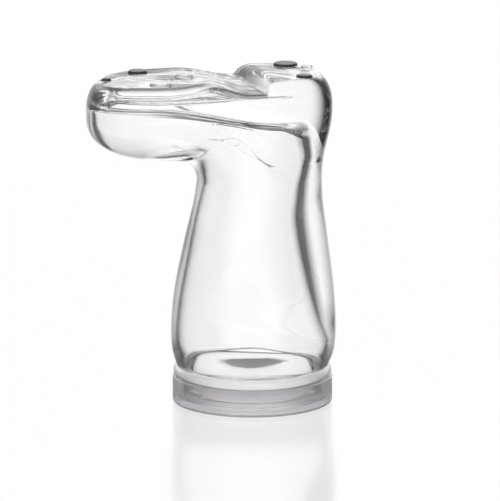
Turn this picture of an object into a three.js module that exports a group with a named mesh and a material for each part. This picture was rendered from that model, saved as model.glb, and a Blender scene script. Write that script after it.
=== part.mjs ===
// A thick-walled clear glass boot that stands upside down, its mouth pushed into a round clear closure.
// Millimetres, +Z up. The origin is the centre of the closure's flat underside. The toe points along -X.
import * as THREE from "three";
import { ParametricGeometry } from "three/addons/geometries/ParametricGeometry.js";

// Clearance between pieces that touch
const GAP = 0.3;

// Closure: a shallow cup, a plug with a dished top that fills the mouth, a liner under the rim, a seal bead
const CUP_RADIUS = 22;
const CUP_HEIGHT = 7.3;
const CUP_FLOOR = 1.6;
const CUP_BORE = 19.5;
const CUP_FOOT_ROUND = 1.2;
const CUP_LIP_ROUND = 0.35;
const PLUG_RADIUS = 16.2;
const PLUG_TOP = 11.2;
const PLUG_EDGE_ROUND = 0.9;
const PLUG_DISH_RADIUS = 9.8;
const PLUG_DISH_DEPTH = 1.4;
const LINER_THICKNESS = 1;
const SEAL_RADIUS = 21.8;
const SEAL_HEIGHT = 2.5;
const SEAL_ROUND = 1;

// Glass mouth: the rim and the straight finish that sits inside the cup
const FINISH_RADIUS = CUP_BORE - GAP;
const RIM_Z = CUP_FLOOR + GAP + LINER_THICKNESS + GAP;
const RIM_ROUND = 0.7;
const MOUTH_RADIUS = PLUG_RADIUS + GAP;
const SHOULDER_Z = CUP_HEIGHT + SEAL_HEIGHT + 2 * GAP;
const NECK_RADIUS = 21.2;
const ANKLE_Z = 62;

// Ledge round the bore inside the mouth
const LEDGE_Z = SHOULDER_Z + 0.4;
const LEDGE_WIDTH = 1.2;
const LEDGE_RISE = 1.1;

// Leg outside and inside: centre along X, radius, height, from the neck up to the ankle
const LEG_OUTSIDE = [
  [0.0, NECK_RADIUS, SHOULDER_Z],
  [0.2, 22.5, 15],
  [0.3, 22.8, 22],
  [0.5, 21.9, 32],
  [1.0, 19.8, 45],
  [1.6, 17.8, 56],
  [1.9, 17.2, ANKLE_Z],
];
const LEG_INSIDE = [
  [0.0, MOUTH_RADIUS + LEDGE_WIDTH, LEDGE_Z],
  [0.0, 19.1, LEDGE_Z + LEDGE_RISE],
  [-0.1, 20.7, 18],
  [-1.0, 18.9, 28],
  [-1.2, 16.7, 39],
  [-0.9, 14.7, 51],
  [0.5, 13.3, ANKLE_Z],
];

// Foot: widest plan outline, outside and inside, as superellipses
const FOOT_OUTSIDE = { centre: -12.0, halfLength: 34.2, halfWidth: 16.6, roundness: 2.5 };
const FOOT_INSIDE = { centre: -14.7, halfLength: 29.3, halfWidth: 13.4, roundness: 2.5 };

// Ceiling of the hollow: level over the toe, falling towards the heel
const CEILING_TOE_Z = 85.2;
const CEILING_HEEL_Z = 79.7;
const CEILING_FALL_FROM = -28;
const CEILING_FALL_TO = 10;
const CEILING_DROP = CEILING_TOE_Z - CEILING_HEEL_Z;

// Underside of the foot: height at its lowest and at its widest outline, roundness of the section,
// extra thickness towards the instep, and how far the widest outline drops towards the heel
const BELLY_OUTSIDE = { low: 69.1, high: 82.5, roundness: 3.1, thicken: 0, drop: 0 };
const BELLY_INSIDE = { low: 70.1, high: 82.6, roundness: 3.0, thicken: 1.4, drop: CEILING_DROP };
const THICKEN_FROM = -34;
const THICKEN_TO = -20;

// Fillet between the leg and the underside
const INSTEP_OUTSIDE = 9.5;
const INSTEP_INSIDE = 13;

// How the back of the ankle becomes the heel: two Bezier arcs of [share of the way to the outline, height]
const ANKLE_TO_HEEL = [
  [[0, ANKLE_Z], [0, 66.5], [0.2, 69.5], [0.5, 73]],
  [[0.5, 73], [0.8, 76.5], [1, 79], [1, 83]],
];
const INSIDE_TO_HEEL = [
  [[0, ANKLE_Z], [0, 64], [0.3, 66], [0.5, 67.5]],
  [[0.5, 67.5], [0.8, 68.5], [1, 69.6], [1, 71.5]],
];

// Where round the boot the leg turns into the foot: cosine of the angle from the toe
const TOE_SIDE_FROM = -0.6;
const TOE_SIDE_TO = 0.3;

// How far in the ceiling starts to round down into the walls, and how far below it the rounding starts
const VAULT_TOE_REACH = 2.6;
const VAULT_SIDE_REACH = 3.2;
const VAULT_HEEL_REACH = 5;
const VAULT_RISE = 2;
const VAULT_HEEL_RISE = 5.5;
const VAULT_FROM = -34;
const VAULT_TO = -14;
const VAULT_END_FROM = 0.6;
const VAULT_END_TO = 0.95;

// Where the upper meets the sole: a round welt with a shelf above it, which climbs at the waist
const WELT_Z = 88.2;
const WELT_ROUND = 1.5;
const SHELF_RISE = 0.3;
const WAIST_RISE = 1.1;

// Sole and heel, on top because the boot stands upside down
const HEEL_Z = 91.9;
const SOLE_Z = HEEL_Z - 0.5;
const TOE_SPRING_Z = HEEL_Z - 1.3;
const SHANK_Z = HEEL_Z - 2.9;
const TOE_SPRING_FROM = -46;
const TOE_SPRING_TO = -31;
const SHANK_FROM = -19;
const SHANK_TO = -3;

// Rim of the sole: distance in from the foot's outline on the inner and the outer side, and at the waist
const RIM_INNER = 2.3;
const RIM_OUTER = 1.6;
const RIM_HALF_WIDTH = 0.6;
const SIDE_BLEND = 6;
const WAIST_X = -11.5;
const WAIST_DEPTH = 8.7;
const WAIST_REACH_TO_TOE = 9;
const WAIST_REACH_TO_HEEL = 5.5;

// Heel's front face: where it starts, its width, how both change across the foot, and how steeply it starts
const BREAST_X = -1;
const BREAST_SLANT = 0.14;
const BREAST_WIDTH = 5.3;
const BREAST_WIDENING = 0.12;
const BREAST_STEEPNESS = 2.8;
const BREAST_FILLET = 0.2;

// Big rounding of the toe's end and of the heel's back
const TOE_END = { reach: 4.2, fall: 7.6, from: 0.75, to: 0.98 };
const HEEL_END = { reach: 5.0, fall: 8.6, from: 0.4, to: 0.9 };

// Bumpers on the sole and heel: [x, y, diameter]
const BUMPER_HEIGHT = 0.7;
const BUMPER_ROUND = 0.45;
const LEVEL_ENOUGH = 0.97;
const TOE_BUMPERS = [
  [-40.2, 2.6, 2.8],
  [-30.2, 9.6, 5.4],
  [-27.3, -9.2, 6.0],
  [-18.8, 1.4, 5.0],
];
const HEEL_BUMPERS = [
  [11.0, 9.0, 6.8],
  [13.0, -7.6, 4.6],
  [16.2, 4.8, 3.2],
];

// Steps round the glass, along its parts, and round the turned pieces
const AROUND = 72;
const LEG_STEPS = 9;
const ARC_STEPS = 5;
const EDGE_STEPS = 9;
const VAULT_STEPS = 6;
const SOLE_STEPS = 16;
const CEILING_STEPS = 4;
const ROUND_STEPS = 48;
const BUMPER_STEPS = 20;
const CORNER_STEPS = 4;

const { lerp, smoothstep } = THREE.MathUtils;
const QUARTER = Math.PI / 2;

// A closed surface through a list of rings, each a function of the angle; the end rings are single points.
function loft(rings) {
  const stacks = rings.length - 1;
  const place = (u, v, target) => {
    const angle = u < 1 ? u * 2 * Math.PI : 0;
    target.copy(rings[Math.round(v * stacks)](angle));
  };
  return new ParametricGeometry(place, AROUND, stacks);
}

const pole = (x, z) => () => new THREE.Vector3(x, 0, z);

const circle = (x, radius, z) => (angle) =>
  new THREE.Vector3(x + radius * Math.cos(angle), radius * Math.sin(angle), z);

// A power that keeps the sign, for superellipses
const signedPower = (value, power) => Math.sign(value) * Math.abs(value) ** power;

function footOutline(foot, angle) {
  const power = 2 / foot.roundness;
  const x = foot.centre + foot.halfLength * signedPower(Math.cos(angle), power);
  const y = foot.halfWidth * signedPower(Math.sin(angle), power);
  return new THREE.Vector2(x, y);
}

// 1 on the toe side of the boot, 0 on the heel side
const toeShare = (angle) => smoothstep(-Math.cos(angle), TOE_SIDE_FROM, TOE_SIDE_TO);

// 1 on the inner side of the foot (-Y), 0 on the outer side
const innerShare = (y) => smoothstep(-y, -SIDE_BLEND, SIDE_BLEND);

function legRings(stations) {
  const curve = new THREE.CatmullRomCurve3(stations.map((row) => new THREE.Vector3(...row)));
  return curve.getPoints(LEG_STEPS).map((point) => circle(point.x, point.y, point.z));
}

// Height of the foot's underside: lowest along the middle, rising round to the widest outline
function bellyHeight(foot, belly, x, y) {
  const along = Math.abs((x - foot.centre) / foot.halfLength) ** foot.roundness;
  const across = Math.abs(y / foot.halfWidth) ** foot.roundness;
  const share = Math.min((along + across) ** (1 / foot.roundness), 1);
  const low = belly.low + belly.thicken * smoothstep(x, THICKEN_FROM, THICKEN_TO);
  const high = belly.high - belly.drop * smoothstep(x, CEILING_FALL_FROM, CEILING_FALL_TO);
  return high - (high - low) * (1 - share ** belly.roundness) ** (1 / belly.roundness);
}

function bezierCurve(corners) {
  return new THREE.CubicBezierCurve(...corners.map((row) => new THREE.Vector2(...row)));
}

// Rings from the ankle circle out to the foot's widest outline: round the fillet, then over the underside
function ankleRings(ankle, foot, belly, fillet, toHeel) {
  const [centre, radius, ankleZ] = ankle;
  const rings = [];
  toHeel.forEach((corners, arc) => {
    const heelCurve = bezierCurve(corners);
    for (let step = 1; step <= ARC_STEPS; step += 1) {
      const turn = (step / ARC_STEPS) * QUARTER;
      const heel = heelCurve.getPoint(step / ARC_STEPS);
      const rise = arc === 0 ? Math.sin(turn) : 1;
      rings.push((angle) => {
        const start = circle(centre, radius, ankleZ)(angle);
        const end = footOutline(foot, angle);
        const distance = Math.hypot(end.x - start.x, end.y - start.y);
        const corner = fillet / (distance + fillet);
        const reach = arc === 0 ? corner * (1 - Math.cos(turn)) : lerp(corner, 1, Math.sin(turn));
        const height = bellyHeight(foot, belly, lerp(start.x, end.x, reach), lerp(start.y, end.y, reach));
        const share = toeShare(angle);
        const along = lerp(heel.x, reach, share);
        const z = lerp(heel.y, lerp(ankleZ, height, rise), share);
        return new THREE.Vector3(lerp(start.x, end.x, along), lerp(start.y, end.y, along), z);
      });
    }
  });
  return rings;
}

// A point of the foot's outline drawn in by a distance
function insetPoint(foot, inset, angle) {
  const smaller = { ...foot, halfLength: foot.halfLength - inset, halfWidth: foot.halfWidth - inset };
  return footOutline(smaller, angle);
}

// How far up the heel's front face a point is: steep at its foot, rounded over wide on the outer side
function breastShare(x, y) {
  const start = BREAST_X - BREAST_SLANT * y;
  const width = BREAST_WIDTH + BREAST_WIDENING * y;
  const share = THREE.MathUtils.clamp((x - start) / width, 0, 1);
  return (1 - (1 - share) ** BREAST_STEEPNESS) * smoothstep(share, 0, BREAST_FILLET);
}

// Height of the upper face of sole and heel
function soleHeight(x, y) {
  const ball = lerp(TOE_SPRING_Z, SOLE_Z, smoothstep(x, TOE_SPRING_FROM, TOE_SPRING_TO));
  const front = ball + (SHANK_Z - SOLE_Z) * smoothstep(x, SHANK_FROM, SHANK_TO);
  return lerp(front, HEEL_Z, breastShare(x, y));
}

// 1 at the deep waist on the sole's inner side, 0 elsewhere
function waistShare(outline) {
  const reach = outline.x < WAIST_X ? WAIST_REACH_TO_TOE : WAIST_REACH_TO_HEEL;
  return Math.exp(-(((outline.x - WAIST_X) / reach) ** 2)) * innerShare(outline.y);
}

// Inset and height up the side of the foot: the round welt, then the shelf, then the sole's edge
function sidePoint(share, rim, waist, top) {
  const parts = 3;
  const part = Math.min(Math.floor(share * parts), parts - 1);
  const within = share * parts - part;
  const shelfEnd = Math.max(rim - RIM_HALF_WIDTH, WELT_ROUND);
  const shelfRise = SHELF_RISE + WAIST_RISE * waist;
  if (part === 0) {
    const turn = within * QUARTER;
    return [WELT_ROUND * (1 - Math.cos(turn)), WELT_Z - WELT_ROUND * (1 - Math.sin(turn))];
  }
  if (part === 1) {
    return [lerp(WELT_ROUND, shelfEnd, within), WELT_Z + shelfRise * within ** 2];
  }
  const z = lerp(WELT_Z + shelfRise, top, smoothstep(within, 0, 1));
  return [lerp(shelfEnd, rim + RIM_HALF_WIDTH, within), z];
}

function endPoint(end, share, top) {
  const turn = share * QUARTER;
  return [end.reach * (1 - Math.cos(turn)), top - end.fall * (1 - Math.sin(turn))];
}

// A point of the foot's edge, from its widest outline (0) to the upper face (1)
function edgePoint(angle, share) {
  const outline = footOutline(FOOT_OUTSIDE, angle);
  const waist = waistShare(outline);
  const rim = lerp(RIM_OUTER, RIM_INNER, innerShare(outline.y)) + WAIST_DEPTH * waist;
  const toeEnd = smoothstep(-Math.cos(angle), TOE_END.from, TOE_END.to);
  const heelEnd = smoothstep(Math.cos(angle), HEEL_END.from, HEEL_END.to);
  const blend = (side, toe, heel) => side * (1 - toeEnd - heelEnd) + toe * toeEnd + heel * heelEnd;
  const edge = insetPoint(FOOT_OUTSIDE, blend(rim + RIM_HALF_WIDTH, TOE_END.reach, HEEL_END.reach), angle);
  const top = soleHeight(edge.x, edge.y);
  const [sideInset, sideZ] = sidePoint(share, rim, waist, top);
  const [toeInset, toeZ] = endPoint(TOE_END, share, top);
  const [heelInset, heelZ] = endPoint(HEEL_END, share, top);
  const place = insetPoint(FOOT_OUTSIDE, blend(sideInset, toeInset, heelInset), angle);
  return new THREE.Vector3(place.x, place.y, blend(sideZ, toeZ, heelZ));
}

function bootOutside() {
  const rings = [
    circle(0, FINISH_RADIUS - RIM_ROUND, RIM_Z),
    circle(0, FINISH_RADIUS, RIM_Z + RIM_ROUND),
    circle(0, FINISH_RADIUS, SHOULDER_Z - GAP),
    ...legRings(LEG_OUTSIDE),
    ...ankleRings(LEG_OUTSIDE.at(-1), FOOT_OUTSIDE, BELLY_OUTSIDE, INSTEP_OUTSIDE, ANKLE_TO_HEEL),
  ];
  for (let step = 1; step <= EDGE_STEPS; step += 1) {
    rings.push((angle) => edgePoint(angle, step / EDGE_STEPS));
  }
  const centre = FOOT_OUTSIDE.centre;
  for (let step = 1; step < SOLE_STEPS; step += 1) {
    rings.push((angle) => {
      const place = edgePoint(angle, 1).lerp(new THREE.Vector3(centre, 0, 0), step / SOLE_STEPS);
      place.z = soleHeight(place.x, place.y);
      return place;
    });
  }
  rings.push(pole(centre, soleHeight(centre, 0)));
  return rings;
}

function ceilingHeight(x) {
  return lerp(CEILING_TOE_Z, CEILING_HEEL_Z, smoothstep(x, CEILING_FALL_FROM, CEILING_FALL_TO));
}

// How far in the ceiling starts to round down into the walls
function vaultReach(angle) {
  const { x } = footOutline(FOOT_INSIDE, angle);
  const atEnd = smoothstep(Math.abs(Math.cos(angle)), VAULT_END_FROM, VAULT_END_TO);
  const heelward = lerp(VAULT_SIDE_REACH, VAULT_HEEL_REACH, atEnd);
  return lerp(VAULT_TOE_REACH, heelward, smoothstep(x, VAULT_FROM, VAULT_TO));
}

// Where the wall ends and the vault starts
function vaultStart(angle, wallTop) {
  const { x } = footOutline(FOOT_INSIDE, angle);
  const atHeel = smoothstep(Math.cos(angle), VAULT_END_FROM, VAULT_END_TO);
  const rise = lerp(VAULT_RISE, VAULT_HEEL_RISE, atHeel);
  return Math.max(wallTop, ceilingHeight(x) - rise);
}

function bootInside() {
  const foot = FOOT_INSIDE;
  const rings = [
    circle(0, MOUTH_RADIUS, RIM_Z),
    circle(0, MOUTH_RADIUS, LEDGE_Z),
    ...legRings(LEG_INSIDE),
    ...ankleRings(LEG_INSIDE.at(-1), foot, BELLY_INSIDE, INSTEP_INSIDE, INSIDE_TO_HEEL),
  ];
  const wallTop = rings.at(-1);
  for (let step = 0; step <= VAULT_STEPS; step += 1) {
    const turn = (step / VAULT_STEPS) * QUARTER;
    rings.push((angle) => {
      const { x, y } = insetPoint(foot, vaultReach(angle) * (1 - Math.cos(turn)), angle);
      const start = vaultStart(angle, wallTop(angle).z);
      return new THREE.Vector3(x, y, lerp(start, ceilingHeight(x), Math.sin(turn)));
    });
  }
  for (let step = 1; step < CEILING_STEPS; step += 1) {
    rings.push((angle) => {
      const edge = insetPoint(foot, vaultReach(angle), angle);
      const { x, y } = edge.lerp({ x: foot.centre, y: 0 }, step / CEILING_STEPS);
      return new THREE.Vector3(x, y, ceilingHeight(x));
    });
  }
  rings.push(pole(foot.centre, ceilingHeight(foot.centre)));
  return rings;
}

// From the ceiling down to the mouth, round the rim, and up the outside to the sole
function glassVessel() {
  return loft([...bootInside().reverse(), ...bootOutside()]);
}

// Turned pieces: outlines of [radius, height] spun about the Z axis

function turned(outline, steps) {
  const points = outline.getPoints(CORNER_STEPS);
  return new THREE.LatheGeometry(points, steps).rotateX(Math.PI / 2);
}

function closureCup() {
  const outline = new THREE.Shape();
  outline.moveTo(0, 0);
  outline.lineTo(CUP_RADIUS - CUP_FOOT_ROUND, 0);
  outline.quadraticCurveTo(CUP_RADIUS, 0, CUP_RADIUS, CUP_FOOT_ROUND);
  outline.lineTo(CUP_RADIUS, CUP_HEIGHT - CUP_LIP_ROUND);
  outline.quadraticCurveTo(CUP_RADIUS, CUP_HEIGHT, CUP_RADIUS - CUP_LIP_ROUND, CUP_HEIGHT);
  outline.lineTo(CUP_BORE, CUP_HEIGHT);
  outline.lineTo(CUP_BORE, CUP_FLOOR);
  outline.lineTo(0, CUP_FLOOR);
  return turned(outline, ROUND_STEPS);
}

function closurePlug() {
  const bottom = CUP_FLOOR + GAP;
  const outline = new THREE.Shape();
  outline.moveTo(0, bottom);
  outline.lineTo(PLUG_RADIUS, bottom);
  outline.lineTo(PLUG_RADIUS, PLUG_TOP - PLUG_EDGE_ROUND);
  outline.quadraticCurveTo(PLUG_RADIUS, PLUG_TOP, PLUG_RADIUS - PLUG_EDGE_ROUND, PLUG_TOP);
  outline.lineTo(PLUG_DISH_RADIUS, PLUG_TOP);
  outline.quadraticCurveTo(PLUG_DISH_RADIUS / 2, PLUG_TOP - PLUG_DISH_DEPTH, 0, PLUG_TOP - PLUG_DISH_DEPTH);
  return turned(outline, ROUND_STEPS);
}

function rimLiner() {
  const bottom = CUP_FLOOR + GAP;
  const outline = new THREE.Shape();
  outline.moveTo(MOUTH_RADIUS, bottom);
  outline.lineTo(FINISH_RADIUS, bottom);
  outline.lineTo(FINISH_RADIUS, bottom + LINER_THICKNESS);
  outline.lineTo(MOUTH_RADIUS, bottom + LINER_THICKNESS);
  outline.closePath();
  return turned(outline, ROUND_STEPS);
}

function sealRing() {
  const inner = FINISH_RADIUS + GAP;
  const bottom = CUP_HEIGHT + GAP;
  const top = bottom + SEAL_HEIGHT;
  const middle = (bottom + top) / 2;
  const outline = new THREE.Shape();
  outline.moveTo(inner, bottom);
  outline.lineTo(SEAL_RADIUS - SEAL_ROUND, bottom);
  outline.quadraticCurveTo(SEAL_RADIUS, bottom, SEAL_RADIUS, middle);
  outline.quadraticCurveTo(SEAL_RADIUS, top, SEAL_RADIUS - SEAL_ROUND, top);
  outline.lineTo(inner, top);
  outline.closePath();
  return turned(outline, ROUND_STEPS);
}

function bumper(diameter) {
  const radius = diameter / 2;
  const outline = new THREE.Shape();
  outline.moveTo(0, 0);
  outline.lineTo(radius, 0);
  outline.quadraticCurveTo(radius, BUMPER_ROUND, radius - BUMPER_ROUND, BUMPER_HEIGHT);
  outline.lineTo(0, BUMPER_HEIGHT);
  return turned(outline, BUMPER_STEPS);
}

// Materials and assembly

function clearMaterial(color, roughness, opacity) {
  return new THREE.MeshStandardMaterial({ color, roughness, opacity, transparent: true, metalness: 0 });
}
const glass = clearMaterial(0xf4f1f6, 0.03, 0.35);
const acrylic = clearMaterial(0xf2f2f4, 0.08, 0.4);
const silicone = clearMaterial(0xe4e3e6, 0.3, 0.6);

function named(name, geometry, material) {
  const mesh = new THREE.Mesh(geometry, material.clone());
  mesh.name = name;
  return mesh;
}

const closure = new THREE.Group();
closure.add(
  named("closure_cup", closureCup(), acrylic),
  named("closure_plug", closurePlug(), acrylic),
  named("rim_liner", rimLiner(), silicone),
);

const vessel = new THREE.Group();
const glassMesh = named("glass_vessel", glassVessel(), glass);
vessel.add(glassMesh);

// Lays a bumper on the glass, tilted with it wherever the glass isn't level
function layBumper(mesh, x, y) {
  const above = new THREE.Vector3(x, y, HEEL_Z + BUMPER_HEIGHT);
  const ray = new THREE.Raycaster(above, new THREE.Vector3(0, 0, -1));
  const [hit] = ray.intersectObject(glassMesh);
  const normal = hit.face.normal.clone();
  if (normal.z > LEVEL_ENOUGH) {
    normal.set(0, 0, 1);
    hit.point.z = soleHeight(x, y);
  }
  mesh.position.copy(hit.point).addScaledVector(normal, GAP);
  mesh.quaternion.setFromUnitVectors(new THREE.Vector3(0, 0, 1), normal);
}

function addBumpers(prefix, rows) {
  rows.forEach(([x, y, diameter], index) => {
    const mesh = named(`${prefix}_${index + 1}`, bumper(diameter), silicone);
    layBumper(mesh, x, y);
    vessel.add(mesh);
  });
}
addBumpers("toe_bumper", TOE_BUMPERS);
addBumpers("heel_bumper", HEEL_BUMPERS);

const boot = new THREE.Group();
boot.add(closure, named("seal_ring", sealRing(), silicone), vessel);

export default boot;
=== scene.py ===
"""A small clear glass boot standing upside down on its push-in closure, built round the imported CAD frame."""
import math

import bmesh
import bpy
import numpy as np
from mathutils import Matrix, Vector
from mathutils.bvhtree import BVHTree


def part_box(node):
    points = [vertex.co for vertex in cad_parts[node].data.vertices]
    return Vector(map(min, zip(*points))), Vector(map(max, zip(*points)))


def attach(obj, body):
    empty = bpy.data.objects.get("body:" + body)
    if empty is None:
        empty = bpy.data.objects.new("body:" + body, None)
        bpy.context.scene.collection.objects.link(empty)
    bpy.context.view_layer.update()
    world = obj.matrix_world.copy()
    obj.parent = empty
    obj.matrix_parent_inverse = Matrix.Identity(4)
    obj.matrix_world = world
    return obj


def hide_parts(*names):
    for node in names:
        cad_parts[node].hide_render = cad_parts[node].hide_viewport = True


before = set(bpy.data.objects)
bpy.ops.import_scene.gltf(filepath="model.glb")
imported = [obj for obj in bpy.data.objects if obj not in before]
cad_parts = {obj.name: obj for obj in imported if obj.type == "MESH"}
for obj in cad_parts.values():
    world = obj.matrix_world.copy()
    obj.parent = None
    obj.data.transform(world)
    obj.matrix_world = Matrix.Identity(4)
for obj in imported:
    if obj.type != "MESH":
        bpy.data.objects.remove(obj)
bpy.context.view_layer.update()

MM = 0.001
TAU = 2 * math.pi
QUARTER = math.pi / 2

# ------------------------------------------------------------------------------------------------
# Dimensions, in millimetres, taken from the frame where it holds them
# ------------------------------------------------------------------------------------------------


def span(node):
    """Lowest and highest corner of a CAD node, in millimetres."""
    low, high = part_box(node)
    return np.array(low) / MM, np.array(high) / MM


GLASS_LOW, GLASS_HIGH = span("glass_vessel")
_, CUP_HIGH = span("closure_cup")
PLUG_LOW, PLUG_HIGH = span("closure_plug")
LINER_LOW, LINER_HIGH = span("rim_liner")
SEAL_LOW, SEAL_HIGH = span("seal_ring")
PAD_LOW, PAD_HIGH = span("toe_bumper_3")

# Clearance between pieces that touch
GAP = 0.3

# Glass mouth: a straight finish with a rounded rim, which flares a little just below the shoulder
RIM_Z = GLASS_LOW[2]
RIM_ROUND = 0.7
FINISH_RADIUS = LINER_HIGH[0]
MOUTH_RADIUS = PLUG_HIGH[0] + GAP
SHOULDER_Z = SEAL_HIGH[2] + GAP
FLARE_FROM = 1.0
FLARE_TO = 0.4
FLARE = 0.2

# Ledge round the bore inside, the height where the bore's edge starts to vary, and the edge's radius
LEDGE_Z = SHOULDER_Z + 0.4
LEDGE_WIDTH = 1.2
LEDGE_RISE = 1.1
EVEN_BORE = 4.0
BORE_EDGE = 0.35

# How far the soft glass rose or sank round the bore: a hump at the far side, both ends low, and small
# waves of [height, waves round, phase], all gone at a height inside the leg
HUMP_HEIGHT = 2.4
HUMP_ANGLE = math.radians(70)
HUMP_REACH = 0.6
ENDS_SINK = 1.2
SMALL_WAVES = ((0.18, 3, 1), (0.1, 5, 2))
SETTLED_Z = 20.0

# Leg, from the neck up to the ankle: centre along X, radius, height
ANKLE_Z = 62.0
LEG_OUTSIDE = (
    (0.0, 21.0, SHOULDER_Z),
    (0.2, 22.4, 15.0),
    (0.3, 22.7, 22.0),
    (0.5, 21.9, 32.0),
    (1.0, 19.8, 45.0),
    (1.6, 17.8, 56.0),
    (1.9, 17.2, ANKLE_Z),
)
LEG_INSIDE = (
    (0.0, MOUTH_RADIUS + LEDGE_WIDTH, LEDGE_Z),
    (0.0, 19.1, LEDGE_Z + LEDGE_RISE),
    (-0.1, 20.7, 18.0),
    (-1.0, 18.9, 28.0),
    (-1.2, 16.7, 39.0),
    (-0.9, 14.7, 51.0),
    (0.5, 13.3, ANKLE_Z),
)

# Where round the boot its leg turns into the foot: cosine of the angle from the toe
TOE_SIDE = (-0.6, 0.3)

# Widest plan outline of the foot: centre along X, half length, half width, exponent of the superellipse
FOOT_OUTSIDE = (-12.0, 34.0, 16.4, 2.5)
FOOT_INSIDE = (-14.7, 29.3, 13.4, 2.5)

# Ceiling of the hollow: level over the toe, falling towards the heel
CEILING_TOE_Z = 85.2
CEILING_HEEL_Z = 79.7
CEILING_DROP = CEILING_HEEL_Z - CEILING_TOE_Z
CEILING_FALL = (-28.0, 10.0)

# Underside of the foot: height at its lowest, height of its widest outline, roundness of the section
BELLY_OUTSIDE = (69.1, 82.5, 3.1)
BELLY_INSIDE = (70.1, 82.6, 3.0)

# Extra glass on the inside of the instep, and where along the foot it comes in
INSTEP_WALL = 1.4
INSTEP_WALL_IN = (-34, -20)

# Fillet between the leg and the underside
INSTEP_OUTSIDE = 9.5
INSTEP_INSIDE = 13.0

# How the back of the ankle becomes the heel: share of the way to the foot's outline, height
ANKLE_TO_HEEL = (
    ((0, ANKLE_Z), (0, 66.5), (0.2, 69.5), (0.5, 73)),
    ((0.5, 73), (0.8, 76.5), (1, 79), (1, 83)),
)
INSIDE_TO_HEEL = (
    ((0, ANKLE_Z), (0, 64), (0.3, 66), (0.5, 67.5)),
    ((0.5, 67.5), (0.8, 68.5), (1, 69.6), (1, 71.5)),
)

# Rounding from the walls into the ceiling, in the toe, along the sides and at the heel's end: how far in
# it reaches, how far below the ceiling it starts, where along the foot it grows, and where the ends start
TOE_CORNER = 2.6
VAULT_REACH = 3.2
VAULT_END_REACH = 5.0
VAULT_RISE = 2.0
VAULT_HEEL_RISE = 5.5
VAULT_GROWS = (-34, -14)
VAULT_END = (0.6, 0.95)

# Where the upper meets the sole: a rounded welt with a shelf above it, which climbs at the waist
WELT_Z = 88.2
WELT_ROUND = 1.5
SHELF_RISE = 0.3
WAIST_RISE = 1.1

# Sole and heel, and where along the foot the toe springs up and the shank falls
HEEL_Z = GLASS_HIGH[2]
SOLE_Z = HEEL_Z - 0.5
TOE_SPRING_Z = HEEL_Z - 1.3
SHANK_Z = HEEL_Z - 2.9
TOE_SPRING = (-46, -31)
SHANK = (-19, -3)
SOLE_MIDDLE = (FOOT_OUTSIDE[0], 1.5)

# Sunken oval panel with pressing ripples in the sole: centre, half sizes, depth and ripple height, and
# the shares of the way out where its edge rises and where the ripples start and end
PANEL_CENTRE = (-23.5, 3.5)
PANEL_SIZE = (11.5, 10.0)
PANEL_DEPTH = 0.1
PANEL_EDGE = (0.9, 1.0)
RIPPLE_HEIGHT = 0.012
RIPPLE_RATE = 24
RIPPLES_START = (0.15, 0.4)
RIPPLES_END = (0.6, 0.95)

# Heel's front face: where it starts, how wide it is, how both change across the foot, how steeply it starts
BREAST_X = -1.0
BREAST_SLANT = 0.14
BREAST_WIDTH = 5.3
BREAST_WIDENING = 0.12
BREAST_STEEPNESS = 2.8
BREAST_FILLET = 0.2

# Sole's rim: distance in from the foot's outline on either side, where it narrows towards the heel,
# the deep waist on the inner side, and the width from the shelf to the rim and from the rim to the face
RIM_OUTER = 1.6
RIM_INNER = 2.3
RIM_HEELWARD = 0.5
RIM_NARROWS = (-2, 4)
SIDE_BLEND = 6
WAIST_X = -11.5
WAIST_DEPTH = 8.7
WAIST_TO_TOE = 9.0
WAIST_TO_HEEL = 5.5
SHELF_TO_RIM = 0.9
RIM_TO_FACE = 0.6

# Rounding of the toe's end and of the heel's back: along X, along Z, and the cosines where each comes in
TOE_END = (4.2, 7.6)
HEEL_END = (5.0, 8.6)
TOE_END_IN = (0.75, 0.98)
HEEL_END_IN = (0.6, 0.95)
HEEL_END_INNER = (0.25, 0.05)

# Steps round the glass and along its parts
AROUND = 256
ROUND_STEPS = 8
BORE_EDGE_STEPS = 6
LEG_STEPS = 12
OUTSIDE_ARC_STEPS = 22
INSIDE_ARC_STEPS = 18
SHELF_STEPS = 6
RIM_STEPS = 12
SOLE_STEPS = 90
WALL_STEPS = 4
VAULT_STEPS = 24
CEILING_STEPS = 24
EASE_PASSES = 8

# Closure cup: roundings of its foot, lip and inner corner, and rows of [height, painted shade] up its side;
# the painted shade is dark lines that stand in for dark reflections and shade
CUP_FLOOR = PLUG_LOW[2] - GAP
CUP_BORE = FINISH_RADIUS + GAP
CUP_FOOT_ROUND = 0.7
CUP_FOOT_FLAT = 0.1
CUP_LIP_ROUND = 0.35
CUP_INNER_ROUND = 0.6
CUP_SIDE_PAINTED_SHADE = ((1.0, 0.1), (1.4, 0.3), (2.4, 0.35), (3.2, 0.15), (5.0, 0.1))

# Closure plug: its top lies a little lower than the CAD's and is dished
PLUG_TOP = PLUG_HIGH[2] - 0.8
PLUG_FOOT_ROUND = 0.4
PLUG_FOOT_FLAT = 0.1
PLUG_SHOULDER_ROUND = 2.0
DISH_RADIUS = 9.8
DISH_DEPTH = 1.4
DISH_STEPS = 24

# Soft rings
LINER_ROUND = 0.25
LINER_STEPS = 4
SEAL_STEPS = 16

# Bumpers: their foot, edge and crown, how much a tilted one leans back upright, and the least tilt shown
PAD_HEIGHT = PAD_HIGH[2] - PAD_LOW[2]
PAD_FOOT = 0.1
PAD_ROUND = 0.6
PAD_EDGE_Z = 0.06
PAD_CROWN = 0.04
PAD_LIFT = 0.02
PAD_UPRIGHT = 1.5
LEVEL_ENOUGH = 0.97
# Pads given a near-black tint: a painted dark reflection of the surroundings seen through clear silicone domes
PADS_PAINTED_DARK = ("toe_bumper_1", "toe_bumper_2", "heel_bumper_1", "heel_bumper_2")

TURNED_SEGMENTS = 192
PAD_SEGMENTS = 64
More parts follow.
